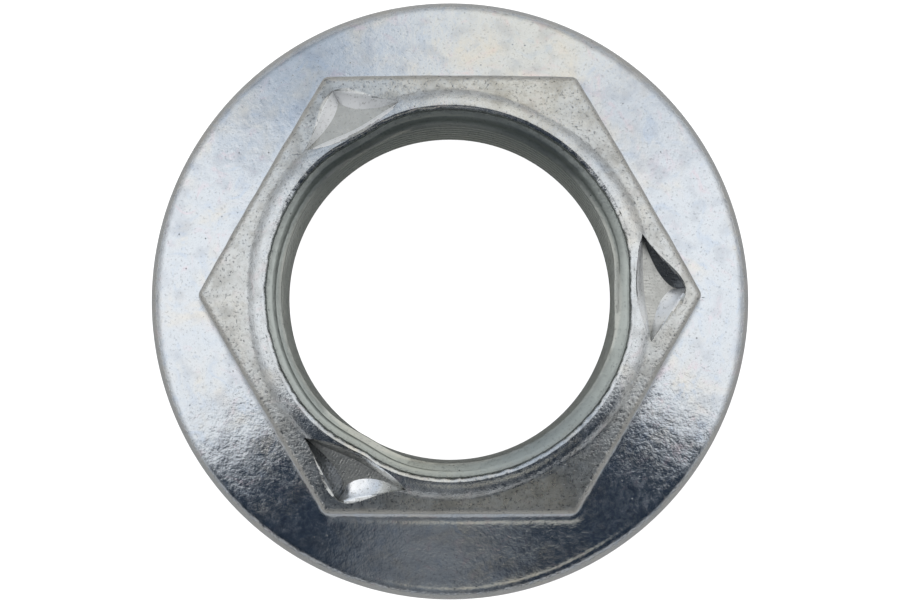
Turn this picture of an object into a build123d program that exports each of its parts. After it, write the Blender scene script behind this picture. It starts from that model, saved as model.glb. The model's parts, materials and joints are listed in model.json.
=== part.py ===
import os
from math import cos, pi, radians, sin, sqrt, tan

from build123d import *

# Serrated flange nut with a fine thread, a hexagon for a 30 mm wrench and three punched locks.
# Millimetres and degrees. Z is up along the thread axis, and Z = 0 is the plane of the tooth crests.
# Two corners of the hexagon lie on the X axis. Angles run from +X towards +Y.

# ---- driving dimensions ----
# thread: M24 x 1.5, right-handed
THREAD_MAJOR_DIAMETER = 24.0
THREAD_PITCH = 1.5
TOP_COUNTERSINK_SLOPE = 30.0      # fall of the countersink in the lip's mouth
BOTTOM_COUNTERSINK_SLOPE = 45.0
BOTTOM_MOUTH_DIAMETER = 24.8

# hexagon
HEX_ACROSS_FLATS = 29.2
HEX_CORNER_RADIUS = 0.6
NUT_HEIGHT = 14.0
TOP_CHAMFER_SLOPE = 27.0

# rolled lip round the mouth of the thread
LIP_HEIGHT = 1.05                 # from the chamfer at the lip's foot to the mouth
LIP_MOUTH_DIAMETER = 24.4
LIP_WALL = 1.38                   # from the mouth out to the lip's foot
LIP_CROWN = 0.16                  # how far the lip's shoulder stands out from a straight flank
LIP_SINK = 0.06                   # how far the lip's foot reaches down into the chamfer
LIP_PINCH = 0.105                 # each of the two waves that make the mouth tri-lobed

# flange
FLANGE_DIAMETER = 42.0
FLANGE_SLOPE = 20.0
FLANGE_FILLET = 1.3               # at the foot of the hexagon
RIM_BEVEL = 0.7                   # broken edge under the rim, at 45 degrees
RIM_BAND = 0.3                    # straight part of the rim
RIM_TOP_RADIUS = 1.5
FORGED_FLAT = 4.4                 # how far behind the thread axis each forged face has its own axis

# punched locks over three corners of the hexagon
LOCK_COUNT = 3
LOCK_TIP_RADIUS = 15.6            # outer tip of the triangle, from the thread axis
LOCK_BASE_RADIUS = 12.6           # straight inner side of the triangle
LOCK_TIP_ANGLE = 100.0
LOCK_DEPTH = 0.85                 # floor of the pocket below the chamfer
LOCK_WALL_BOW = 33.4              # degrees that the floor's outer sides turn in at their ends

# bearing face
TOOTH_COUNT = 36
TOOTH_DEPTH = 0.55                # at the rim, and in proportion nearer the axis
TOOTH_LAND = 1.5                  # degrees of flat crest
TOOTH_BACK = 1.0                  # degrees taken by the steep, biting flank
TOOTH_RING_INNER_DIAMETER = 30.0
RECESS_DEPTH = 0.8                # dished face inside the ring of teeth

# ---- sizes that follow ----
MINOR_RADIUS = THREAD_MAJOR_DIAMETER / 2 - 5 / 8 * sqrt(3) / 2 * THREAD_PITCH
FLANGE_RADIUS = FLANGE_DIAMETER / 2
HEX_CORNER = HEX_ACROSS_FLATS / 2 / cos(pi / 6)
MOUTH_RADIUS = LIP_MOUTH_DIAMETER / 2
LIP_FOOT_RADIUS = MOUTH_RADIUS + LIP_WALL
LIP_FOOT_Z = NUT_HEIGHT - LIP_HEIGHT
BOTTOM_MOUTH_RADIUS = BOTTOM_MOUTH_DIAMETER / 2
TOOTH_RING_INNER_RADIUS = TOOTH_RING_INNER_DIAMETER / 2
RIM_SHOULDER_RADIUS = FLANGE_RADIUS - RIM_TOP_RADIUS * (1 - sin(radians(FLANGE_SLOPE)))
RIM_SHOULDER_Z = RIM_BEVEL + RIM_BAND + RIM_TOP_RADIUS * cos(radians(FLANGE_SLOPE))
FOOT_FILLET = min(FLANGE_FILLET, 0.8 * (RIM_SHOULDER_RADIUS - HEX_CORNER))  # kept on the flange
THREAD_BOTTOM = RECESS_DEPTH + (BOTTOM_MOUTH_RADIUS - MINOR_RADIUS) * tan(radians(BOTTOM_COUNTERSINK_SLOPE))
THREAD_TOP = NUT_HEIGHT - (MOUTH_RADIUS - MINOR_RADIUS) * tan(radians(TOP_COUNTERSINK_SLOPE))
MARGIN = 1.0                      # how far a cutter runs past what it cuts


def forged_top(radius, height, slope, inner_radius):
    """Solid under six shallow cones, one over each flat of the hexagon.

    Each passes through the given radius and height over the middle of its flat. Their axes
    stand FORGED_FLAT behind the thread axis, so they meet in a soft ridge at each corner.
    """
    fall = tan(radians(slope))
    run = radius + FORGED_FLAT
    top = height + (radius - inner_radius) * fall
    bottom = -MARGIN
    cone = Cone(
        run + (height - bottom) / fall,
        run - (top - height) / fall,
        top - bottom,
        align=(Align.CENTER, Align.CENTER, Align.MIN),
    )
    seam_behind = Rot(0, 0, 180)
    solid = None
    for side in range(6):
        face = Rot(0, 0, 30 + 60 * side) * Pos(-FORGED_FLAT, 0, bottom) * seam_behind * cone
        solid = face if solid is None else solid & face
    return solid


def flange_blank():
    """Round flange with a rolled rim, before its top is forged to six faces."""
    shoulder = 1.5 * FLANGE_SLOPE  # the rim's arc runs on past the forged faces, which trim it
    arc_x = FLANGE_RADIUS - RIM_TOP_RADIUS
    arc_z = RIM_BEVEL + RIM_BAND
    end_x = arc_x + RIM_TOP_RADIUS * sin(radians(shoulder))
    end_z = arc_z + RIM_TOP_RADIUS * cos(radians(shoulder))
    core = MINOR_RADIUS + MARGIN
    section = Polyline(
        (core, 0),
        (FLANGE_RADIUS - RIM_BEVEL, 0),
        (FLANGE_RADIUS, RIM_BEVEL),
        (FLANGE_RADIUS, arc_z),
    )
    section += RadiusArc((FLANGE_RADIUS, arc_z), (end_x, end_z), -RIM_TOP_RADIUS)
    section += Polyline(
        (end_x, end_z),
        (core, end_z + (end_x - core) * tan(radians(shoulder))),
        (core, 0),
    )
    return revolve(Plane.XZ * make_face(section), Axis.Z)


def flange():
    """Flange whose top slopes up to the hexagon in six forged faces."""
    return flange_blank() & forged_top(
        RIM_SHOULDER_RADIUS, RIM_SHOULDER_Z, FLANGE_SLOPE, MINOR_RADIUS + MARGIN
    )


def hexagon():
    """Hexagon with softened corners and a chamfered top."""
    profile = RegularPolygon(HEX_CORNER, 6)
    profile = fillet(profile.vertices(), HEX_CORNER_RADIUS)
    prism = extrude(profile, NUT_HEIGHT)
    return prism & forged_top(LIP_FOOT_RADIUS, LIP_FOOT_Z, TOP_CHAMFER_SLOPE, MINOR_RADIUS - MARGIN)


def body():
    """Hexagon standing on the flange, with the fillet that the forging leaves at its foot."""
    foot = flange()
    head = hexagon()
    whole = foot + head
    return fillet(new_edges(foot, head, combined=whole), FOOT_FILLET)


def lip():
    """Collar rolled over round the mouth: steep at its foot, nearly level at its crown."""
    foot = (LIP_FOOT_RADIUS, LIP_FOOT_Z - LIP_SINK)
    crown = (MOUTH_RADIUS, NUT_HEIGHT)
    shoulder = (
        (foot[0] + crown[0]) / 2 + LIP_CROWN,
        (foot[1] + crown[1]) / 2 + LIP_CROWN,
    )
    root = LIP_FOOT_Z - LIP_HEIGHT
    core = MINOR_RADIUS - MARGIN
    section = Polyline(
        foot,
        shoulder,
        crown,
        (core, NUT_HEIGHT),
        (core, root),
        (LIP_FOOT_RADIUS, root),
        close=True,
    )
    return revolve(Plane.XZ * make_face(section), Axis.Z)


def pinched_mouth(radius, z):
    """Closed curve of the mouth, drawn in towards the axis beside each lock."""
    steps = 12 * LOCK_COUNT
    points = []
    for step in range(steps):
        angle = 2 * pi * step / steps
        wave = cos(LOCK_COUNT * angle) + cos(2 * LOCK_COUNT * angle)
        reach = radius - LIP_PINCH * wave
        points.append((reach * cos(angle), reach * sin(angle), z))
    return Face(Wire(Edge.make_spline(points, periodic=True)))


def top_countersink():
    """Tool for the tri-lobed countersink, from the lip's crown down to the thread."""
    mouth = pinched_mouth(MOUTH_RADIUS, NUT_HEIGHT)
    throat = Pos(0, 0, THREAD_TOP) * Circle(MINOR_RADIUS).face()
    return loft([throat, mouth]) + extrude(mouth, MARGIN, dir=(0, 0, 1))


def bottom_recess():
    """Tool for the dished face inside the teeth, with the countersink at its middle."""
    edge = TOOTH_RING_INNER_RADIUS
    section = Polyline(
        (0, -MARGIN),
        (edge, -MARGIN),
        (edge, 0),
        (edge - RECESS_DEPTH, RECESS_DEPTH),
        (BOTTOM_MOUTH_RADIUS, RECESS_DEPTH),
        (MINOR_RADIUS, THREAD_BOTTOM),
        (0, THREAD_BOTTOM),
        close=True,
    )
    return revolve(Plane.XZ * make_face(section), Axis.Z)


def lock_outline(height, bow):
    """Closed triangle with its tip over +X, on a plane as steep as the chamfer.

    The height is that of the tip. The two outer sides turn in at their ends by the angle bow.
    """
    fall = tan(radians(TOP_CHAMFER_SLOPE))
    half = (LOCK_TIP_RADIUS - LOCK_BASE_RADIUS) * tan(radians(LOCK_TIP_ANGLE / 2))
    normal = radians(90 - LOCK_TIP_ANGLE / 2)
    lean = half / cos(normal) / 2 * tan(radians(bow / 2))
    middle_x = (LOCK_TIP_RADIUS + LOCK_BASE_RADIUS) / 2 - lean * cos(normal)
    middle_y = half / 2 - lean * sin(normal)

    def place(x, y):
        return Vector(x, y, height + (LOCK_TIP_RADIUS - x) * fall)

    tip = place(LOCK_TIP_RADIUS, 0)
    upper = place(LOCK_BASE_RADIUS, half)
    lower = place(LOCK_BASE_RADIUS, -half)
    base = Edge.make_line(upper, lower)
    if bow == 0:
        return Wire([Edge.make_line(tip, upper), base, Edge.make_line(lower, tip)])
    return Wire([
        Edge.make_three_point_arc(tip, place(middle_x, middle_y), upper),
        base,
        Edge.make_three_point_arc(lower, place(middle_x, -middle_y), tip),
    ])


def lock_pocket():
    """Tool for one punched lock: upright at its three corners, with outer walls that lean."""
    tip_z = LIP_FOOT_Z - (LOCK_TIP_RADIUS - LIP_FOOT_RADIUS) * tan(radians(TOP_CHAMFER_SLOPE))
    floor = lock_outline(tip_z - LOCK_DEPTH, LOCK_WALL_BOW)
    rim = lock_outline(tip_z + MARGIN, 0)
    return Solid.make_loft([floor, rim], ruled=True)


def tooth_gap():
    """Tool for the gap after one tooth: a short steep flank, then a long ramp to the next crest.

    Every edge aims at the thread axis, so the gap widens and deepens towards the rim.
    """
    pitch = 360 / TOOTH_COUNT

    def section(radius):
        share = radius / FLANGE_RADIUS
        arc = radius * pi / 180
        return Polyline(
            (radius, TOOTH_LAND * arc, 0),
            (radius, (TOOTH_LAND + TOOTH_BACK) * arc, TOOTH_DEPTH * share),
            (radius, pitch * arc, 0),
            (radius, pitch * arc, -MARGIN * share),
            (radius, TOOTH_LAND * arc, -MARGIN * share),
            close=True,
        ).wire()

    inner = TOOTH_RING_INNER_RADIUS - RECESS_DEPTH - MARGIN
    return Solid.make_loft([section(inner), section(FLANGE_RADIUS + MARGIN)], ruled=True)


def nut():
    """The whole nut, which is forged, tapped and punched from one piece."""
    solid = body() + lip()
    solid -= Cylinder(MINOR_RADIUS, 3 * NUT_HEIGHT)
    solid -= top_countersink()
    solid -= bottom_recess()
    for lock in range(LOCK_COUNT):
        solid -= Rot(0, 0, 360 / LOCK_COUNT * lock) * lock_pocket()
    gap = tooth_gap()
    solid -= [Rot(0, 0, 360 / TOOTH_COUNT * tooth) * gap for tooth in range(TOOTH_COUNT)]
    return solid


os.makedirs("parts", exist_ok=True)
flange_nut = nut()
export_step(flange_nut, "parts/flange_nut.step")
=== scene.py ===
import json
import math

import bmesh
import bpy
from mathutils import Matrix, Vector, noise


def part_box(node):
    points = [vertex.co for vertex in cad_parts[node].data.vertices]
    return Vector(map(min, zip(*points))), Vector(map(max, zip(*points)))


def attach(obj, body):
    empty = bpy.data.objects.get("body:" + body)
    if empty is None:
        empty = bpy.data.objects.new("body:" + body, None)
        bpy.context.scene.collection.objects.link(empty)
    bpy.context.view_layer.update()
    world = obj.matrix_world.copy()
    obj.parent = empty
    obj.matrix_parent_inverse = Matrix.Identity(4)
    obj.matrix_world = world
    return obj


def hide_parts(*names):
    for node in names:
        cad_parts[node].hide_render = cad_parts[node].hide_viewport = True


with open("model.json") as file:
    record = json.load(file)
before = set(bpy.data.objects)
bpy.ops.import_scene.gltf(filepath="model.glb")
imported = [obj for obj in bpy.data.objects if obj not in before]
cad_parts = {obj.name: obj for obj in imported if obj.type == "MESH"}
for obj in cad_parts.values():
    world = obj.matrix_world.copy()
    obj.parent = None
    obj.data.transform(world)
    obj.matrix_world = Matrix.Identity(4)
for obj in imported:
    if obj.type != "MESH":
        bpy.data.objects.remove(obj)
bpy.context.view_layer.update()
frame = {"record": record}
bpy.ops.object.select_all(action="DESELECT")

mm = 0.001
threadMount = next(m for m in frame["record"]["mounts"] if m["name"] == "thread")
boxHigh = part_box("flange_nut")[1]


def linearColour(hexText):
    channels = []
    for start in (1, 3, 5):
        value = int(hexText[start:start + 2], 16) / 255
        channels.append(value / 12.92 if value <= 0.04045 else ((value + 0.055) / 1.055) ** 2.4)
    return (*channels, 1.0)


def addNode(tree, kind, inputs, output=0, **settings):
    # each input gets a fixed value or another node's output, and one output is given back
    node = tree.nodes.new("ShaderNode" + kind)
    for name, value in settings.items():
        setattr(node, name, value)
    for socket, value in inputs.items():
        if isinstance(value, bpy.types.NodeSocket):
            tree.links.new(value, node.inputs[socket])
        else:
            node.inputs[socket].default_value = value
    if node.outputs:
        return node.outputs[output]


def activate(piece):
    bpy.ops.object.select_all(action="DESELECT")
    piece.select_set(True)
    bpy.context.view_layer.objects.active = piece


def applyModifier(piece, kind, name, **settings):
    activate(piece)
    modifier = piece.modifiers.new(name, kind)
    for key, value in settings.items():
        setattr(modifier, key, value)
    bpy.ops.object.modifier_apply(modifier=modifier.name)


def combine(piece, tool, operation):
    applyModifier(piece, "BOOLEAN", operation.lower(), operation=operation, object=tool, solver="MANIFOLD")
    bpy.data.objects.remove(tool)


def selectOpenEdges():
    bpy.ops.mesh.select_all(action="DESELECT")
    bpy.ops.mesh.select_non_manifold(extend=False, use_wire=False, use_boundary=True,
                                     use_multi_face=False, use_non_contiguous=False, use_verts=False)


def finishMesh():
    bpy.ops.mesh.select_all(action="SELECT")
    bpy.ops.mesh.normals_make_consistent(inside=False)
    bpy.ops.object.mode_set(mode="OBJECT")


def blendBetween(low, high, value):
    share = min(1.0, max(0.0, (value - low) / (high - low)))
    return share * share * (3 - 2 * share)


def smoothMax(first, second, width):
    gap = max(width - abs(first - second), 0) / width
    return max(first, second) + gap * gap * width / 4


def hump(value, width):
    return math.exp(-(value / width) ** 2)


# the nut's blank, in millimetres

nut = {
    "flangeRadius": boxHigh.x / mm,
    "hexHalf": 14.6,            # half of the 29.2 mm across the flats
    "hexCorner": 0.5,           # rounding of the upright corners
    "leastCorner": 0.02,        # what is left of it where the hexagon is drawn in by its top edge
    "topEdge": 0.85,            # worn rounding where the flats meet the chamfer
    "forgedFlat": 4.4,          # each forged face's own axis lies this far behind the thread's
    "ridgeSoftness": 2.2,       # degrees over which two forged faces run together
    "flangeSlope": 20.0,
    "chamferSlope": 27.0,
    "footFillet": 1.6,
    "rimBevel": 0.7,
    "rimCurve": [(0.62, 0.30), (0.34, 0.46), (0.12, 0.76)],     # rounds the bevel, in shares of it
    "rimFoot": 0.1,             # from the bevel's own height to its last ring
    "rimBand": 0.3,
    "rimRadius": 1.5,
    "lipFoot": 13.6,
    "lipFootHeight": 13.06,
    "lipRise": 0.92,
    "lipCurve": 0.75,           # 0 for a straight lip, 1 for one that ends level at the mouth
    "lipBlend": 0.12,
    "lipMouth": 12.35,
    "boreRadius": 12.0,         # major radius of the M24 thread
    "boreLedge": 0.4,
    "teeth": 36,
    "toothDepth": 0.55,
    "toothLand": 1.5,           # degrees
    "toothBack": 1.0,
    "toothInner": 15.0,
    "recess": 0.8,
}
# unevenness that forging leaves; a noise is given by its size in millimetres and its seed
forging = {
    "waviness": 0.035,          # how far the forged faces sink between their high spots
    "hills": (4.2, 3.7),
    "ripples": (1.5, 8.1),
    "rippleShare": 0.2,
    "crownShare": 0.7,          # the chamfer and the lip are struck a little truer
    "edgeWander": 0.035,        # how far the hexagon's top edge strays from a straight line
    "edgeNoise": (15.0, 1.1, 21.3),     # read at one radius, which comes first
    "creaseDepth": 0.08,        # fold outside two of the corners
    "creaseWidth": 0.13,
    "creaseStart": (16.8, 17.2),
    "creaseEnd": (17.4, 18.1),
}


def awayFromFlat(angle):
    turn = (angle - 30) % 60
    return min(turn, 60 - turn)


def hexReach(angle, grow=0.0):
    # distance from the axis to the hexagon's wall, grown outwards by a fillet or chamfer
    half = nut["hexHalf"] + grow
    corner = max(nut["hexCorner"] + grow, nut["leastCorner"])
    away = math.radians(awayFromFlat(angle))
    centre = (half - corner) / math.cos(math.pi / 6)
    offset = math.pi / 6 - away
    if math.tan(away) * half <= (half - corner) * math.tan(math.pi / 6):
        return half / math.cos(away)
    return centre * math.cos(offset) + math.sqrt(corner ** 2 - (centre * math.sin(offset)) ** 2)


def forgedHeight(angle, radius, atRadius, atHeight, slope):
    # a cone about the forged face's own axis, with the fold at each corner softened
    away = math.radians(30 - math.hypot(30 - awayFromFlat(angle), nut["ridgeSoftness"]))
    back = nut["forgedFlat"]
    run = math.hypot(radius * math.cos(away) + back, radius * math.sin(away)) - back
    return atHeight - (run - atRadius) * math.tan(math.radians(slope))


def rimShoulder():
    # radius and height where the rolled rim meets the forged top of the flange
    slope = math.radians(nut["flangeSlope"])
    radius = nut["flangeRadius"] - nut["rimRadius"] * (1 - math.sin(slope))
    height = nut["rimBevel"] + nut["rimBand"] + nut["rimRadius"] * math.cos(slope)
    return radius, height


def flangeTop(angle, radius):
    return forgedHeight(angle, radius, *rimShoulder(), nut["flangeSlope"])


def chamferTop(angle, radius):
    return forgedHeight(angle, radius, nut["lipFoot"], nut["lipFootHeight"], nut["chamferSlope"])


def crownHeight(angle, radius):
    # the chamfer, and the lip that rises from it, steep at its foot and nearly level at the mouth
    chamfer = chamferTop(angle, max(radius, nut["lipFoot"]))
    share = min((nut["lipFoot"] - radius) / (nut["lipFoot"] - nut["lipMouth"]), 1.0)
    curve = nut["lipCurve"]
    lip = nut["lipFootHeight"] + nut["lipRise"] * ((1 + curve) * share - curve * max(share, 0) ** 2)
    return smoothMax(chamfer, lip, nut["lipBlend"])


def toothGap(angle, radius):
    # height of the bearing face above the crests: flat land, steep back, long ramp
    pitch = 360 / nut["teeth"]
    turn = angle % pitch
    deep = nut["toothDepth"] * radius / nut["flangeRadius"]
    if turn <= nut["toothLand"]:
        return 0.0
    if turn <= nut["toothLand"] + nut["toothBack"]:
        return deep * (turn - nut["toothLand"]) / nut["toothBack"]
    return deep * (pitch - turn) / (pitch - nut["toothLand"] - nut["toothBack"])


def waver(angle, radius, size, seed):
    turn = math.radians(angle)
    place = Vector((radius * math.cos(turn) / size, radius * math.sin(turn) / size, seed))
    return noise.noise(place, noise_basis="PERLIN_ORIGINAL")


def sunk(angle, radius):
    # shallow hills and hollows of a forged face, never above its true height
    broad = 0.5 + 0.5 * waver(angle, radius, *forging["hills"])
    fine = 0.5 + 0.5 * waver(angle, radius, *forging["ripples"])
    return forging["waviness"] * (broad * (1 - forging["rippleShare"]) + fine * forging["rippleShare"])


def crease(angle, radius):
    # short radial fold on the flange beside the corners at 0 and 180 degrees
    side = math.radians((angle + 90) % 180 - 90) * radius
    near = blendBetween(*forging["creaseStart"], radius) * (1 - blendBetween(*forging["creaseEnd"], radius))
    return forging["creaseDepth"] * near * hump(side, forging["creaseWidth"])


# each of these gives the radius and height of a ring of the section, at an angle

def underRing(angle, place):
    radius, height = place
    return radius, max(height, toothGap(angle, radius))


def rimRing(angle, share):
    # rolled rim, up to where the forged face takes over
    turn = math.radians((90 - nut["flangeSlope"]) * share)
    radius = nut["flangeRadius"] - nut["rimRadius"] * (1 - math.cos(turn))
    height = nut["rimBevel"] + nut["rimBand"] + nut["rimRadius"] * math.sin(turn)
    shoulder, base = rimShoulder()
    return radius, height + (flangeTop(angle, shoulder) - base) * share ** 2


def filletArc():
    return math.radians(90 - nut["flangeSlope"])


def footEnd(angle):
    return hexReach(angle, nut["footFillet"] * (1 - math.cos(filletArc())))


def flangeRing(angle, share):
    # forged top, whose unevenness starts beside the rim
    shoulder = rimShoulder()[0]
    radius = shoulder + (footEnd(angle) - shoulder) * share
    low = sunk(angle, radius) * min(1, 3 * share) + crease(angle, radius)
    return radius, flangeTop(angle, radius) - low


def filletRing(angle, share):
    # fillet at the hexagon's foot
    turn = filletArc() * (1 - share)
    reach = hexReach(angle, nut["footFillet"] * (1 - math.cos(turn)))
    low = flangeTop(angle, footEnd(angle)) - sunk(angle, reach) - crease(angle, reach)
    return reach, low + nut["footFillet"] * (math.sin(filletArc()) - math.sin(turn))


def edgeStart(angle):
    edge = nut["topEdge"]
    return chamferTop(angle, hexReach(angle, -edge)) - edge / math.cos(math.radians(nut["chamferSlope"]))


def wallRing(angle, share):
    low = flangeTop(angle, footEnd(angle)) + nut["footFillet"] * math.sin(filletArc())
    return hexReach(angle), low + (edgeStart(angle) - low) * share


def edgeRing(angle, share):
    # rounded top edge of the hexagon
    edge = nut["topEdge"]
    turn = math.radians(90 - nut["chamferSlope"]) * share
    stray = forging["edgeWander"] * waver(angle, *forging["edgeNoise"]) * math.cos(turn)
    return hexReach(angle, edge * (math.cos(turn) - 1)) + stray, edgeStart(angle) + edge * math.sin(turn)


def crownRing(angle, share):
    # chamfer, lip and mouth, with the rings closer together towards the bore
    start = hexReach(angle, nut["topEdge"] * (math.sin(math.radians(nut["chamferSlope"])) - 1))
    radius = start + (nut["boreRadius"] - start) * (1 - (1 - share) ** 1.5)
    sink = sunk(angle, radius) * forging["crownShare"] * blendBetween(0.0, 0.2, share)
    return radius, crownHeight(angle, radius) - sink


def nutRings():
    # from the recess under the flange, round the rim and over the head, to the bore
    rim, bevel, inner, recess = nut["flangeRadius"], nut["rimBevel"], nut["toothInner"], nut["recess"]
    ledge = nut["boreRadius"] + nut["boreLedge"]
    under = [(nut["boreRadius"], recess)]
    under += [(ledge + (inner - recess - ledge) * step / 3, recess) for step in range(4)]
    under.append((inner - recess / 2, recess / 2))
    under += [(inner + (rim - bevel - inner) * step / 4, 0.0) for step in range(5)]
    under += [(rim - bevel * inwards, bevel * upwards) for inwards, upwards in nut["rimCurve"]]
    under.append((rim, bevel + nut["rimFoot"]))
    rings = [(underRing, place) for place in under]
    # steps in the whole run of each, then its first and last
    runs = ((rimRing, 9, 0, 8), (flangeRing, 12, 0, 11), (filletRing, 8, 0, 8),
            (wallRing, 4, 1, 3), (edgeRing, 7, 0, 7), (crownRing, 34, 1, 34))
    for ring, steps, first, last in runs:
        rings += [(ring, step / steps) for step in range(first, last + 1)]
    return rings


def columnAngles():
    # every half degree, and closer beside the corners
    angles = {step * 0.5 for step in range(720)}
    for corner in range(0, 360, 60):
        for extra in (0.12, 0.25, 0.37, 0.75):
            angles.add((corner + extra) % 360)
            angles.add((corner - extra) % 360)
    return sorted(angles)


def ringPiece(name, angles, rings, closed):
    # a circle extruded ring by ring
    bpy.ops.mesh.primitive_circle_add(vertices=len(angles), radius=nut["boreRadius"] * mm,
                                      fill_type="NOTHING")
    piece = bpy.context.object
    piece.name = name
    bpy.ops.object.mode_set(mode="EDIT")
    for index, (ring, place) in enumerate(rings):
        if index:
            bpy.ops.mesh.extrude_edges_move()
        mesh = bmesh.from_edit_mesh(piece.data)
        chosen = [v for v in mesh.verts if v.select]
        chosen.sort(key=lambda v: math.atan2(v.co.y, v.co.x) % math.tau)
        for vert, angle in zip(chosen, angles):
            radius, height = ring(angle, place)
            turn = math.radians(angle + 1e-4)     # so that the first vertex stays first in the next sorting
            vert.co = Vector((radius * math.cos(turn), radius * math.sin(turn), height)) * mm
        bmesh.update_edit_mesh(piece.data)
        if not closed and index in (0, len(rings) - 1):
            bpy.ops.mesh.edge_face_add()     # cap, whose edge stays selected
    if closed:
        selectOpenEdges()
        bpy.ops.mesh.bridge_edge_loops()
    finishMesh()
    return piece


# thread

thread = {
    "pitch": 1.5,
    "minorRadius": threadMount["dims"]["r_mm"],
    "rootRadius": 12.15,        # a little inside the bore's wall, so that the ridge is joined to it
    "flankAngle": 30.0,
    "crestWidth": 0.375,
    "crestRounding": 0.05,
    "turns": 11,
    "stepsPerTurn": 144,
    "startHeight": -1.15,
    "startAngle": 250.0,
}


def makeThread():
    # one section of the ridge, screwed up the bore and closed at both ends
    inner = thread["minorRadius"]
    crest = thread["crestWidth"] / 2
    soft = thread["crestRounding"]
    lean = math.tan(math.radians(thread["flankAngle"]))
    base = crest + (thread["rootRadius"] - inner) * lean
    outline = [
        (thread["rootRadius"], -base),
        (inner + soft, -crest - soft * lean),
        (inner, -crest + soft),
        (inner, crest - soft),
        (inner + soft, crest + soft * lean),
        (thread["rootRadius"], base),
    ]
    bpy.ops.mesh.primitive_circle_add(vertices=len(outline), radius=mm)
    ridge = bpy.context.object
    ridge.name = "threadRidge"
    turn = math.radians(thread["startAngle"])
    for vert, (radius, height) in zip(ridge.data.vertices, outline):
        place = Vector((radius * math.cos(turn), radius * math.sin(turn), height + thread["startHeight"]))
        vert.co = place * mm
    applyModifier(ridge, "SCREW", "helix", axis="Z", angle=math.tau, screw_offset=thread["pitch"] * mm,
                  iterations=thread["turns"], steps=thread["stepsPerTurn"],
                  render_steps=thread["stepsPerTurn"], use_merge_vertices=False)
    bpy.ops.object.mode_set(mode="EDIT")
    selectOpenEdges()
    bpy.ops.mesh.fill_holes(sides=0)
    finishMesh()
    return ridge


# countersinks

countersink = {
    "columns": 360,
    # radius and height of the tool's steps; the last one is clear of the nut
    "top": [(10.9, 12.66), (11.2, 12.92), (11.45, 13.12), (11.53, 13.22), (11.73, 13.48), (11.82, 13.54),
            (12.1, 13.62), (12.15, 13.72), (12.23, 13.83), (12.35, 13.92), (12.5, 13.965), (12.6, 14.02),
            (13.5, 17.0)],
    "bottom": [(10.9, 2.3), (12.4, 0.8), (16.0, -2.8)],
}


def stepRing(angle, place):
    return place


def makeCountersink(name, steps):
    angles = [360 * step / countersink["columns"] for step in range(countersink["columns"])]
    return ringPiece(name, angles, [(stepRing, step) for step in steps], False)


# punched locks

# corner places in millimetres: outwards from the axis, then sideways
# one share tells how far a lock's walls are turned matt near-white, a painted reflection, and a table tells
# which
# walls are painted dark, a painted shade: the way that such a wall faces, outwards and across, and how far
# aside of the lock's middle it lies
locks = [
    {"angle": 0.0, "tip": (15.68, 0.42), "left": (12.72, 3.95), "right": (13.3, -3.20),
     "depth": 0.85, "leftLean": 0.68, "rightLean": 0.85, "flatBase": False, "paintedWhiteShare": 0.4,
     "paintedShadeWhere": {"facingOut": (-2.0, 0.0), "facingAcross": (-2.0, -0.15), "aside": (-9.0, 9.0)}},
    {"angle": 120.0, "tip": (15.65, 0.0), "left": (13.0, 3.65), "right": (12.72, -3.5),
     "depth": 0.75, "leftLean": 0.7, "rightLean": 0.85, "flatBase": False, "paintedWhiteShare": 1.0,
     "paintedShadeWhere": {"aside": (0.0, 0.0)}},     # nowhere
    {"angle": 240.0, "tip": (15.58, 0.40), "left": (12.66, 4.0), "right": (13.05, -3.6),
     "depth": 0.95, "leftLean": 1.1, "rightLean": 0.8, "flatBase": True, "paintedWhiteShare": 0.0,
     "paintedShadeWhere": {"facingOut": (-2.0, 2.0), "facingAcross": (-0.3, 2.0), "aside": (-9.0, 0.45)}},
]
punch = {
    "sideSteps": 12,            # points along each side
    # height as a share of the depth, and how far the sides have spread from the floor's outline there
    "levels": [(0.3, 0.38), (0.62, 0.74), (0.85, 0.93), (0.97, 1.04), (1.05, 1.18), (1.2, 1.5), (1.9, 2.2)],
    "baseLean": 0.28,           # how far the inner side rolls over towards the bore
    "baseSpread": 1.3,          # from this spread on it rolls no further
    "tipLean": 0.55,            # how far the floor stops short of the tip
    "push": 0.3,                # how far it drives the mouth and the first threads inwards
    "pushFloor": 10.0,          # nothing moves below this height
    "pushWidth": 11.0,          # degrees
    "pushHeights": (10.4, 13.0),
    "pushRadii": (12.5, 13.6),
    "ragged": 0.1,              # unevenness of the mouth's edge
    "raggedNoise": (14.0, 0.35, 5.5),
    "raggedInset": 0.13,
    "raggedWidth": 0.12,
}


def punchPlace(lock, side, share, lift, spread):
    # a point of the punch's outline; its outer sides are curved in at the floor and straight at the top
    corners = [lock["tip"], lock["left"], lock["right"]]
    first, second = corners[side], corners[(side + 1) % 3]
    out = first[0] + (second[0] - first[0]) * share
    across = first[1] + (second[1] - first[1]) * share
    if side == 1:
        rolled = min(spread, punch["baseSpread"]) ** 2
        out -= punch["baseLean"] * rolled * math.sin(math.pi * share) ** 0.5
    else:
        length = math.hypot(second[0] - first[0], second[1] - first[1])
        lean = lock["leftLean"] if side == 0 else lock["rightLean"]
        near = share if side == 0 else 1 - share     # 0 at the tip, 1 at the base
        bulge = (spread - 1) * lean * math.sin(math.pi * near ** 0.75)
        out += (second[1] - first[1]) / length * bulge
        across -= (second[0] - first[0]) / length * bulge
        out += (min(spread, 1) - 1) * punch["tipLean"] * (1 - near) ** 4
    turn = math.radians(lock["angle"])
    middle = lock["angle"] + 30     # the floor lies as the chamfer does at the middle of a flat
    height = chamferTop(middle, out) - lock["depth"] + lift
    return Vector((out * math.cos(turn) - across * math.sin(turn),
                   out * math.sin(turn) + across * math.cos(turn), height)) * mm


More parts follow.
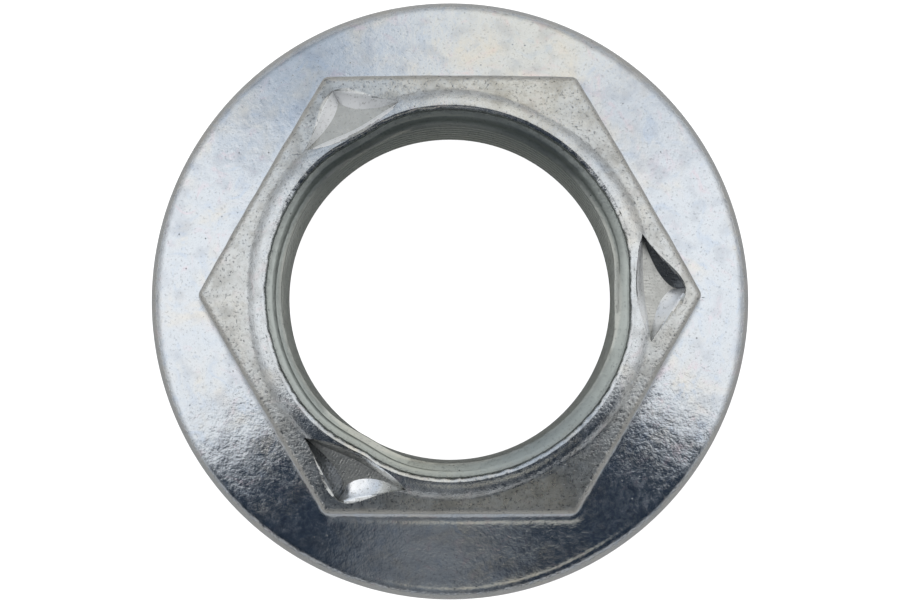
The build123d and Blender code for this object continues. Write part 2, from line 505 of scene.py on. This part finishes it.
def makePunch(lock):
    steps = punch["sideSteps"]
    outline = [(side, step / steps) for side in range(3) for step in range(steps)]
    bpy.ops.mesh.primitive_circle_add(vertices=len(outline), radius=mm, fill_type="NGON")
    tool = bpy.context.object
    tool.name = "punch"
    for vert, (side, share) in zip(tool.data.vertices, outline):
        vert.co = punchPlace(lock, side, share, 0.0, 0.0)
    bpy.ops.object.mode_set(mode="EDIT")
    bpy.ops.mesh.select_all(action="SELECT")
    for level, spread in punch["levels"]:
        bpy.ops.mesh.extrude_region_move()
        mesh = bmesh.from_edit_mesh(tool.data)
        raised = [v for v in mesh.verts if v.select]
        raised.sort(key=lambda v: v.index)
        for vert, (side, share) in zip(raised, outline):
            vert.co = punchPlace(lock, side, share, lock["depth"] * level, spread)
        bmesh.update_edit_mesh(tool.data)
    finishMesh()
    return tool


def awayFromLock(angle, lock):
    return abs((angle - lock["angle"] + 180) % 360 - 180)


def nearestLock(angle):
    return min(locks, key=lambda lock: awayFromLock(angle, lock))


def pinch(angle):
    # how far the nearest punch drove the mouth towards the axis, which makes the nut lock
    return punch["push"] * hump(awayFromLock(angle, nearestLock(angle)), punch["pushWidth"])


def pushIn(piece):
    for vert in piece.data.vertices:
        x, y, z = vert.co / mm
        radius = math.hypot(x, y)
        if z < punch["pushFloor"] or radius > punch["pushRadii"][1]:
            continue
        angle = math.degrees(math.atan2(y, x))
        weight = blendBetween(*punch["pushHeights"], z) * (1 - blendBetween(*punch["pushRadii"], radius))
        ragged = punch["ragged"] * waver(angle, *punch["raggedNoise"])
        ragged *= hump(radius + punch["raggedInset"] - nut["lipMouth"], punch["raggedWidth"])
        share = (radius - pinch(angle) * weight + ragged) / radius
        vert.co.x *= share
        vert.co.y *= share


smoothAngle = 28     # degrees; sharper edges stay sharp

body = ringPiece("flangeNutBody", columnAngles(), nutRings(), True)
print("blank", len(body.data.polygons))
combine(body, makeThread(), "UNION")
print("thread", len(body.data.polygons))
combine(body, makeCountersink("topCountersink", countersink["top"]), "DIFFERENCE")
combine(body, makeCountersink("bottomCountersink", countersink["bottom"]), "DIFFERENCE")
print("countersinks", len(body.data.polygons))
for lock in locks:
    combine(body, makePunch(lock), "DIFFERENCE")
pushIn(body)
print("locks", len(body.data.polygons), [round(x / mm, 3) for x in body.dimensions])
activate(body)
bpy.ops.object.shade_smooth_by_angle(angle=math.radians(smoothAngle))
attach(body, "root")
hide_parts("flange_nut")


# places where the plate looks different

# radii, heights and widths in millimetres; a pair is where a change starts and ends
places = {
    "top": 8.0,                     # only above this is the head coined and worn
    "plateStart": 11.9,             # inside this are the threads
    "coinedEnd": (14.45, 14.62),    # square to the nearest flat
    "lipShine": (13.2, 13.7),       # the lip is only half as dull as the chamfer
    "wornEdge": (14.1, 14.4),       # square to the nearest flat
    "wornRim": (20.4, 20.75),
    "wornFoot": (0.2, 0.9),         # up from the bearing face
    "wornFootInner": 12.6,
    "mouthInset": 0.18,
    # a dark line is painted along the mouth's edge, as painted shade
    "mouthShadeWidth": 0.07,
    "mouthShadeOffset": -0.01,            # outwards from the mouth
    "mouthShadeLow": 12.0,
    "boreEnd": (-0.08, 0.02),       # outwards from the mouth
    # a dark line is painted at the countersink's step, as painted shade in the groove there
    "grooveShadeRadius": 11.58,
    "grooveShadeWidth": 0.12,
    "grooveShadeLow": 12.4,
    "lockLow": 10.0,
    "lockInner": 0.3,               # outwards from the mouth
    "lockOuter": 14.0,
    "lockHalf": 24.0,               # degrees
    "lockShallowest": 0.12,
    "floorFacing": 0.985,           # cosine of a floor's tilt against the chamfer
    "baseFacing": 0.1,              # an inner wall that faces further outwards counts as floor
}


def squareToFlat(x, y):
    turns = [math.radians(turn) for turn in (30, 90, 150)]
    return max(abs(x * math.cos(turn) + y * math.sin(turn)) for turn in turns)


def alongLock(lock, x, y):
    # outwards along the lock's own radius, and across it
    turn = math.radians(lock["angle"])
    return x * math.cos(turn) + y * math.sin(turn), y * math.cos(turn) - x * math.sin(turn)


def surfaceAt(x, y, z, normal):
    # the plate, or in a punched lock its floor, a wall, or a wall painted dark as painted shade
    radius = math.hypot(x, y)
    angle = math.degrees(math.atan2(y, x)) % 360
    lock = nearestLock(angle)
    outside = (
        z < places["lockLow"],
        radius < nut["lipMouth"] + places["lockInner"] - pinch(angle),
        squareToFlat(x, y) > places["lockOuter"],
        crownHeight(angle, radius) - z < places["lockShallowest"],
        awayFromLock(angle, lock) > places["lockHalf"],
    )
    if any(outside):
        return "brightZincPlate"
    slope = math.radians(nut["chamferSlope"])
    out, across = alongLock(lock, normal.x, normal.y)
    if out * math.sin(slope) + normal.z * math.cos(slope) > places["floorFacing"]:
        return "coinedZincFloor"
    if lock["flatBase"] and out > places["baseFacing"]:
        return "coinedZincFloor"
    found = {"facingOut": out, "facingAcross": across, "aside": alongLock(lock, x, y)[1]}
    # walls that face and lie within the lock's ranges are painted dark, a painted shade
    if all(low < found[name] < high for name, (low, high) in lock["paintedShadeWhere"].items()):
        return "paintedShadeWall"
    return "burnishedWallWithPaintedWhite"


def placesAt(x, y, z):
    # how coined, worn and bore-like the plate is at a point, how much painted shade it takes at the
    # countersink's step and along the mouth's edge, how much painted white its lock's walls take, and how far
    # it is across its lock
    radius = math.hypot(x, y)
    angle = math.degrees(math.atan2(y, x))
    lock = nearestLock(angle)
    flat = squareToFlat(x, y)
    mouth = nut["lipMouth"] - places["mouthInset"] - pinch(angle)
    coined = worn = 0.0
    if z > places["top"] and radius > places["plateStart"]:
        coined = 1 - blendBetween(*places["coinedEnd"], flat)
        coined *= 0.5 + 0.5 * blendBetween(*places["lipShine"], radius)
        worn = blendBetween(*places["wornEdge"], flat) if radius > nut["lipFoot"] else 0.0
    foot = 1 - blendBetween(*places["wornFoot"], z) if radius > places["wornFootInner"] else 0.0
    # painted shade: a dark line at the countersink's step
    step = hump(radius + pinch(angle) - places["grooveShadeRadius"], places["grooveShadeWidth"])
    # painted shade: a dark line along the mouth's edge
    crest = hump(radius - mouth - places["mouthShadeOffset"], places["mouthShadeWidth"])
    return {
        "coined": coined,
        "worn": max(worn, blendBetween(*places["wornRim"], radius), foot),
        "bore": 1 - blendBetween(*places["boreEnd"], radius - mouth),
        "step": step if z > places["grooveShadeLow"] else 0.0,
        # share of painted white for this lock's walls, a painted reflection
        "paintedWhiteShare": lock["paintedWhiteShare"],
        "mouth": crest if z > places["mouthShadeLow"] else 0.0,
        "across": alongLock(lock, x, y)[1],
    }


def paintPlaces(piece):
    mesh = piece.data
    values = [placesAt(*(vert.co / mm)) for vert in mesh.vertices]
    for name in values[0]:
        layer = mesh.attributes.new(name, "FLOAT", "POINT")
        layer.data.foreach_set("value", [value[name] for value in values])


paintPlaces(body)
print("places painted")


# surfaces

def levelOf(tree, patterns, *products):
    # adds up products; a factor is a number, a pattern or a smooth step (pattern, low, high, start, end)
    level = 0.0
    for factors in products:
        product = 1.0
        for factor in factors:
            if isinstance(factor, tuple):
                name, low, high, start, end = factor
                factor = addNode(tree, "MapRange", {"Value": patterns[name], "From Min": low,
                                                    "From Max": high, "To Min": start, "To Max": end},
                                 interpolation_type="SMOOTHSTEP")
            elif isinstance(factor, str):
                factor = patterns[factor]
            product = addNode(tree, "Math", {0: product, 1: factor}, operation="MULTIPLY")
        level = addNode(tree, "Math", {0: level, 1: product}, operation="ADD")
    return level


def startSurface(name, noises, attributes):
    # gives the material, its place in millimetres, and its patterns by name
    material = bpy.data.materials.new(name)
    material.use_nodes = True
    tree = material.node_tree
    tree.nodes.clear()
    coordinate = addNode(tree, "TexCoord", {}, "Object")
    place = addNode(tree, "VectorMath", {"Vector": coordinate, "Scale": 1000.0}, operation="SCALE")
    patterns = {}
    for pattern, (size, detail, rough, distortion) in noises.items():
        patterns[pattern] = addNode(tree, "TexNoise", {"Vector": place, "Scale": 1 / size, "Detail": detail,
                                                       "Roughness": rough, "Distortion": distortion})
    for attribute in attributes:
        patterns[attribute] = addNode(tree, "Attribute", {}, "Fac", attribute_name=attribute)
    return material, place, patterns


def finishSurface(material, patterns, colour, tints, metal, roughness, relief):
    # lays each tint over the colours under it, and raises the relief, which is in millimetres
    tree = material.node_tree
    painted = linearColour(colour)
    for tint, factors in tints:
        share = levelOf(tree, patterns, factors)
        painted = addNode(tree, "Mix", {0: share, 6: painted, 7: linearColour(tint)}, 2, data_type="RGBA")
    height = levelOf(tree, patterns, *relief)
    normal = addNode(tree, "Bump", {"Height": height, "Distance": 0.001, "Strength": 1.0})
    shader = addNode(tree, "BsdfPrincipled", {
        "Base Color": painted, "Metallic": metal, "Roughness": levelOf(tree, patterns, *roughness),
        "Normal": normal})
    addNode(tree, "OutputMaterial", {"Surface": shader})


# Steel, forged and tapped, then barrel plated with bright zinc and dipped in clear blue chromate.
# The plate copies the scaled skin of the forging, so it glitters in fine grains with dark pits between
# them, and the chromate film gives it faint blue, straw and pink clouds. The coined head is duller.
zinc = {
    # millimetres across, detail, roughness, distortion
    "noises": {
        "grain": (0.19, 2.0, 0.65, 0.0),    # drawn coarser than the real 0.05 so that it shows
        "skin": (0.42, 3.0, 0.65, 0.3),     # flakes of forging scale
        "dent": (1.5, 2.0, 0.5, 0.0),       # knocks from the barrel
        "cloud": (3.4, 3.0, 0.6, 0.5),      # the film is thicker where it dried last
        "drift": (1.7, 3.0, 0.6, 1.2),
        "cluster": (1.1, 2.0, 0.55, 0.0),   # where pits gather
    },
    "pitSpacing": 0.75,
    "pit": [("cells", 0.02, 0.09, 1.0, 0.0), ("cluster", 0.4, 0.6, 0.0, 1.0)],
    # wear, and the painted shade along the mouth's edge, break up into grains
    "worn": [["worn"], [("grain", 0.3, 0.7, -0.3, 0.3)]],
    "mouth": [["mouth"], [("grain", 0.35, 0.65, -0.35, 0.3)]],
    "brokenUp": (0.3, 0.9, 0.0, 1.0),
    "colour": "#d2d8de",
    "tints": [
        ("#ded9cf", [("cloud", 0.45, 0.75, 0.0, 0.7)]),         # straw, blue and pink chromate
        ("#c3cedc", [("drift", 0.5, 0.75, 0.0, 0.8)]),
        ("#dccfd6", [("drift", 0.25, 0.45, 0.6, 0.0)]),
        ("#b4bac3", [("dent", 0.5, 0.72, 0.0, 0.45)]),
        ("#cdceca", ["coined", 0.6]),                           # duller head, with grey dents and stains
        ("#a09f99", [("dent", 0.42, 0.7, 0.0, 0.5), "coined"]),
        ("#8d8c88", [("skin", 0.34, 0.58, 0.6, 0.0), ("coined", 0.0, 1.0, 0.15, 0.6)]),
        ("#bcbab4", ["worn", 0.6]),
        ("#c0c3bc", ["bore", 0.85]),                            # darker bore, and its cone
        ("#a9b0ad", ["bore", ("radius", 11.25, 11.45, 0.0, 1.0), 0.8]),
        # painted shade: a dark line at the countersink's step
        ("#3e4745", ["step", 0.3]),
        ("#4c5057", [("grain", 0.45, 0.26, 0.0, 0.6), ("coined", 0.0, 1.0, 0.5, 1.3)]),     # dirt
        ("#3c4044", ["pit", 0.8]),
        # painted shade: a dark line along the mouth's edge, broken into grains
        ("#34373b", ["mouth", 0.25]),
    ],
    "roughness": [[("skin", 0.3, 0.7, 0.13, 0.23)], ["coined", 0.13], ["worn", 0.14], ["bore", 0.2]],
    "relief": [["grain", 0.009], ["skin", 0.014], ["dent", 0.036], ["pit", -0.02],
               ["grain", "coined", 0.021], ["grain", "worn", 0.021]],
}


def makeZinc():
    material, place, patterns = startSurface("brightZincPlate", zinc["noises"],
                                             ("coined", "worn", "bore", "step", "mouth"))
    tree = material.node_tree
    patterns["cells"] = addNode(tree, "TexVoronoi", {"Vector": place, "Scale": 1 / zinc["pitSpacing"]},
                                "Distance", feature="F1")
    patterns["pit"] = levelOf(tree, patterns, zinc["pit"])
    flat = addNode(tree, "VectorMath", {0: place, 1: (1, 1, 0)}, operation="MULTIPLY")
    patterns["radius"] = addNode(tree, "VectorMath", {0: flat}, "Value", operation="LENGTH")
    for name in ("worn", "mouth"):
        patterns[name] = levelOf(tree, patterns, *zinc[name])
        patterns[name] = levelOf(tree, patterns, [(name, *zinc["brokenUp"])])
    finishSurface(material, patterns, zinc["colour"], zinc["tints"], 1.0, zinc["roughness"], zinc["relief"])
    return material


# Where the punch struck, the plate lost its grain. Its floor was coined to a grey satin that keeps the
# punch's own grinding lines, and most walls were burnished bright as it slid past. In some locks the walls
# are turned matt near-white, a painted reflection, and some walls are painted dark grey and scored, a painted
# shade for the dark surroundings they reflect.
struck = {
    "coinedZincFloor": {"colour": "#c2c3c0", "roughness": 0.42, "grain": 0.032, "comb": 0.006, "paintedWhiteWeight": 0.0},
    # burnished metal; where a lock's share of painted white is high it turns matt near-white, a painted
    # reflection
    "burnishedWallWithPaintedWhite": {"colour": "#f0f2f4", "roughness": 0.24, "grain": 0.008, "comb": 0.0, "paintedWhiteWeight": 0.22},
    # painted shade: a dark grey wall that stands in for the dark surroundings it reflects
    "paintedShadeWall": {"colour": "#6e7276", "roughness": 0.27, "grain": 0.04, "comb": 0.008, "paintedWhiteWeight": 0.0},
    "noises": {
        "grain": (0.16, 2.0, 0.6, 0.0),     # drawn coarser than the real 0.05, as on the plate
        "patch": (0.7, 2.0, 0.5, 0.0),
    },
    "dirt": "#8b8a86",
    "combPitch": 0.2,
    "combSway": 9.0,            # radians
    "metalLostToPaintedWhite": 3.4,             # how much of its metal look a wall loses to the painted white, for its roughness
}


def makeStruck(name):
    material, place, patterns = startSurface(name, struck["noises"], ("across", "paintedWhiteShare"))
    tree = material.node_tree
    look = struck[name]
    lines = math.tau / struck["combPitch"]
    swayed = levelOf(tree, patterns, ["across", lines], ["patch", struck["combSway"]])
    patterns["comb"] = addNode(tree, "Math", {0: swayed}, operation="SINE")
    rough = look["roughness"]
    tints = [(struck["dirt"], [("grain", 0.45, 0.25, 0.0, 0.6)])]
    metal = 1.0
    # painted white: a wall loses its metal look and turns matt near-white, a painted reflection
    if look["paintedWhiteWeight"]:
        metal = levelOf(tree, patterns, [("paintedWhiteShare", 0.0, 1.0, 1.0, 1 - struck["metalLostToPaintedWhite"] * look["paintedWhiteWeight"])])
    roughness = [[("patch", 0.3, 0.7, rough - 0.05, rough + 0.1)], ["paintedWhiteShare", look["paintedWhiteWeight"]]]
    relief = [["grain", look["grain"]], ["comb", ("patch", 0.35, 0.6, 1.0, 0.15), look["comb"]]]
    finishSurface(material, patterns, look["colour"], tints, metal, roughness, relief)
    return material


body.data.materials.clear()
body.data.materials.append(makeZinc())
for name in ("coinedZincFloor", "burnishedWallWithPaintedWhite", "paintedShadeWall"):
    body.data.materials.append(makeStruck(name))
surfaces = [material.name for material in body.data.materials]
for face in body.data.polygons:
    face.material_index = surfaces.index(surfaceAt(*(face.center / mm), face.normal))
print("materials")


# table, light and camera

# a matt white table top: white to the eye, but lit so softly that its mirror image in the rim is grey
table = {
    "size": 4.0,
    "colour": "#d2d2d2",
    "roughness": 0.9,
    "glow": [["seen", 0.85], [0.15]],       # to the camera, and to all else
}

bpy.ops.mesh.primitive_plane_add(size=table["size"], location=(0, 0, 0))
floor = bpy.context.object
floor.name = "floor"


def makeTablePaint():
    paint = bpy.data.materials.new("whiteTable")
    paint.use_nodes = True
    tree = paint.node_tree
    tree.nodes.clear()
    seen = addNode(tree, "LightPath", {}, "Is Camera Ray")
    shader = addNode(tree, "BsdfPrincipled", {
        "Base Color": linearColour(table["colour"]), "Roughness": table["roughness"],
        "Emission Color": (1, 1, 1, 1), "Emission Strength": levelOf(tree, {"seen": seen}, *table["glow"])})
    addNode(tree, "OutputMaterial", {"Surface": shader})
    return paint


floor.data.materials.append(makeTablePaint())

# a round tent of white cloth, open towards the camera above it and towards the front
tent = {
    "strength": 1.2,
    "low": ("up", -0.05, 0.45, 0.58, 1.0),      # the cloth is darker at the table than at its middle
    "hole": ("reach", 0.34, 0.68, 0.1, 1.0),
    "holeStretch": 1.4,
    # middle, half width and softness in degrees; "up" is the middle of its height and where its edge
    # starts and ends
    "cards": [
        {"azimuth": 46, "half": 8, "soft": 24, "colour": "#d9dce0"},        # seam on the right
        {"azimuth": 76, "half": 16, "soft": 26, "colour": "#f4efe4"},       # warm cloth
        {"azimuth": 120, "half": 20, "soft": 30, "colour": "#b9c1cb"},      # cloth at the back
        {"azimuth": -88, "half": 61, "soft": 6, "colour": "#2a3441"},       # open front
        {"azimuth": -94, "half": 14, "soft": 18, "colour": "#73767a"},      # reflector in front
        {"azimuth": -76, "half": 20, "soft": 16, "colour": "#b9b5aa", "up": (0.55, 0.054, 0.117)},     # lamp
    ],
}


def makeWorld():
    world = bpy.data.worlds.new("lightTent")
    bpy.context.scene.world = world
    world.use_nodes = True
    tree = world.node_tree
    tree.nodes.clear()
    coordinate = addNode(tree, "TexCoord", {}, "Generated")
    east, north, up = addNode(tree, "SeparateXYZ", {"Vector": coordinate}).node.outputs
    azimuth = addNode(tree, "Math", {0: north, 1: east}, operation="ARCTAN2")
    patterns = {"east": east, "north": north, "up": up}
    cloth = linearColour("#ffffff")
    for card in tent["cards"]:
        inner = math.radians(card["half"] - card["soft"] / 2)
        outer = math.radians(card["half"] + card["soft"] / 2)
        spans = [(azimuth, math.radians(card["azimuth"]), inner, outer)]
        if "up" in card:
            spans.append((up, *card["up"]))
        factors = []
        for direction, middle, inner, outer in spans:
            offset = addNode(tree, "Math", {0: direction, 1: middle}, operation="SUBTRACT")
            name = f"aside{len(patterns)}"
            patterns[name] = addNode(tree, "Math", {0: offset}, operation="ABSOLUTE")
            factors.append((name, inner, outer, 1.0, 0.0))
        share = levelOf(tree, patterns, factors)
        cloth = addNode(tree, "Mix", {0: share, 6: cloth, 7: linearColour(card["colour"])}, 2,
                        data_type="RGBA")
    squares = levelOf(tree, patterns, ["east", "east", tent["holeStretch"] ** 2], ["north", "north"])
    patterns["reach"] = addNode(tree, "Math", {0: squares}, operation="SQRT")
    strength = levelOf(tree, patterns, [tent["low"], tent["hole"], tent["strength"]])
    light = addNode(tree, "Background", {"Color": cloth, "Strength": strength})
    plain = addNode(tree, "Background", {"Color": linearColour("#ffffff"), "Strength": 1.0})
    seen = addNode(tree, "LightPath", {}, "Is Camera Ray")
    mixed = addNode(tree, "MixShader", {0: seen, 1: light, 2: plain})
    addNode(tree, "OutputWorld", {"Surface": mixed})


studio = {
    "cameraHeight": 198.4,      # above the widest part of the flange
    "cameraTilt": 2.1,
    "framePixels": 900,
    "pixelsPerMm": 14.244,
    "targetHeight": 1.6,
    "sensor": 36.0,
    "nearest": 10.0,            # closer things are not drawn
}


def makeCamera():
    tilt = math.radians(studio["cameraTilt"])
    distance = studio["cameraHeight"] * mm
    target = Vector((0, 0, studio["targetHeight"] * mm))
    place = target + Vector((0, -math.sin(tilt), math.cos(tilt))) * distance
    bpy.ops.object.camera_add(location=place, rotation=(tilt, 0, 0))
    camera = bpy.context.object
    shown = studio["framePixels"] / studio["pixelsPerMm"]     # width of the frame at the flange
    camera.data.sensor_width = studio["sensor"]
    camera.data.lens = studio["sensor"] * studio["cameraHeight"] / shown
    camera.data.clip_start = studio["nearest"] * mm
    bpy.context.scene.camera = camera


makeWorld()
makeCamera()
bpy.context.scene.view_settings.view_transform = "Standard"
bpy.context.scene.view_settings.look = "None"
